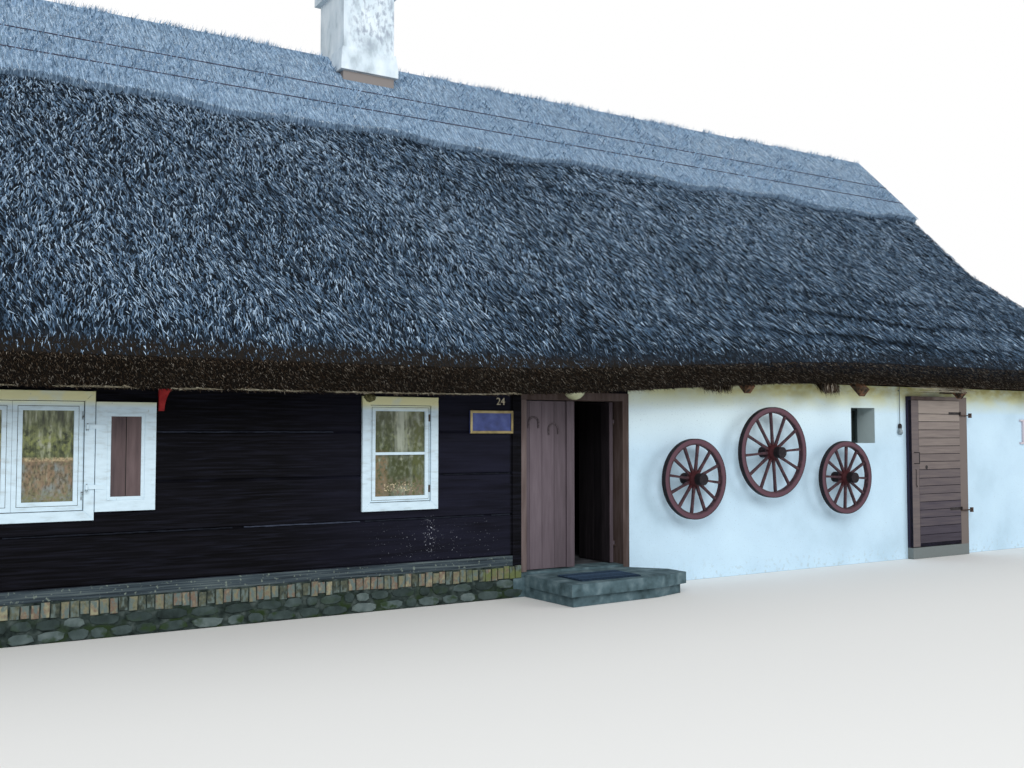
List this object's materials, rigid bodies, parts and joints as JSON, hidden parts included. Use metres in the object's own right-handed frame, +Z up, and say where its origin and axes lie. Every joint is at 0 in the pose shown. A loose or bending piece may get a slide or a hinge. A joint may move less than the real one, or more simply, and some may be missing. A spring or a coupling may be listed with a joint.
{
  "type": "thatched farmhouse",
  "caption": "Long low farmhouse: tarred log dwelling and whitewashed byre under one thick reed thatch roof with gablets, hipped end skirts and a ridge chimney.",
  "frame": {"origin": "on the base plane at the lowest ground, at the centre of the rectangle of the outer walls", "axes": "+Z up, +X along the front wall from the dwelling to the byre, the front wall faces -Y"},
  "size_m": [18.475, 8.2665, 7.7006],
  "materials": {
    "stone": "rough rubble and brick",
    "tarred_wood": "tarred, weathered",
    "grey_wood": "bare, weathered grey",
    "whitewash": "limewashed masonry",
    "timber": "sawn and hewn",
    "reed": "weathered reed thatch",
    "ridge_reed": "lighter weathered reed",
    "wire": "weathered wire",
    "white_paint": "white paint on wood",
    "glass": "clear panes",
    "door_paint": "faded red-brown paint",
    "iron": "forged, dark",
    "mat": "coarse mat",
    "wheel_wood": "faded red-brown paint",
    "sign": "blue with a cream border",
    "lamp_glass": "glossy opal globe",
    "floor": "worn paving"
  },
  "bodies": {
    "house": {"plinth": "stone", "sill_beams": "grey_wood", "front_log_wall": "tarred_wood", "back_log_wall": "tarred_wood", "left_log_wall": "tarred_wood", "top_logs": "tarred_wood", "corner_posts": "tarred_wood", "thresholds": "stone", "floors": "floor", "byre_front_wall": "whitewash", "byre_door_lintel": "whitewash", "byre_back_wall": "whitewash", "byre_end_wall": "whitewash", "joists": "timber", "roof_plates": "timber", "loft_floor": "timber", "rafters": "timber", "battens": "timber", "gable_boards": "grey_wood", "thatch_front": "reed", "thatch_back": "reed", "end_skirts": "reed", "ridge_cap": "ridge_reed", "ridge_wires": "wire", "chimney_shaft": "whitewash", "chimney_courses": "whitewash", "window_linings": "white_paint", "window_trims": "white_paint", "casements": "white_paint", "window_glass": "glass", "door_frames": "door_paint", "hinge_pintles": "iron", "door_step": "stone", "door_mat": "mat", "cart_wheels": "wheel_wood", "wheel_irons": "iron", "sign_board": "sign", "lamps": "lamp_glass", "wall_irons": "iron"},
    "front_door_left": {"door_leaf_left": "door_paint", "horseshoes": "iron"},
    "front_door_right": {"door_leaf_right": "door_paint"},
    "byre_door": {"byre_door": "door_paint", "byre_door_iron": "iron"},
    "left_shutter": {"shutter_left": "white_paint"},
    "right_shutter": {"shutter_right": "white_paint"}
  },
  "joints": [
    {"name": "front_door_left_hinge", "type": "hinge", "parent": "house", "child": "front_door_left", "pos_m": [-1.754, -3.109, 1.2], "axis": [0, 0, 1], "range_deg": [0, 95]},
    {"name": "front_door_right_hinge", "type": "hinge", "parent": "house", "child": "front_door_right", "pos_m": [-0.441, -3.109, 1.2], "axis": [0, 0, 1], "range_deg": [-5, 90]},
    {"name": "byre_door_hinge", "type": "hinge", "parent": "house", "child": "byre_door", "pos_m": [5.5075, -3.356, 1.2], "axis": [0, 0, 1], "range_deg": [0, 160]},
    {"name": "left_shutter_hinge", "type": "hinge", "parent": "house", "child": "left_shutter", "pos_m": [-7.204, -3.302, 1.5], "axis": [0, 0, 1], "range_deg": [0, 180]},
    {"name": "right_shutter_hinge", "type": "hinge", "parent": "house", "child": "right_shutter", "pos_m": [-6.07, -3.302, 1.5], "axis": [0, 0, -1], "range_deg": [0, 180]}
  ]
}
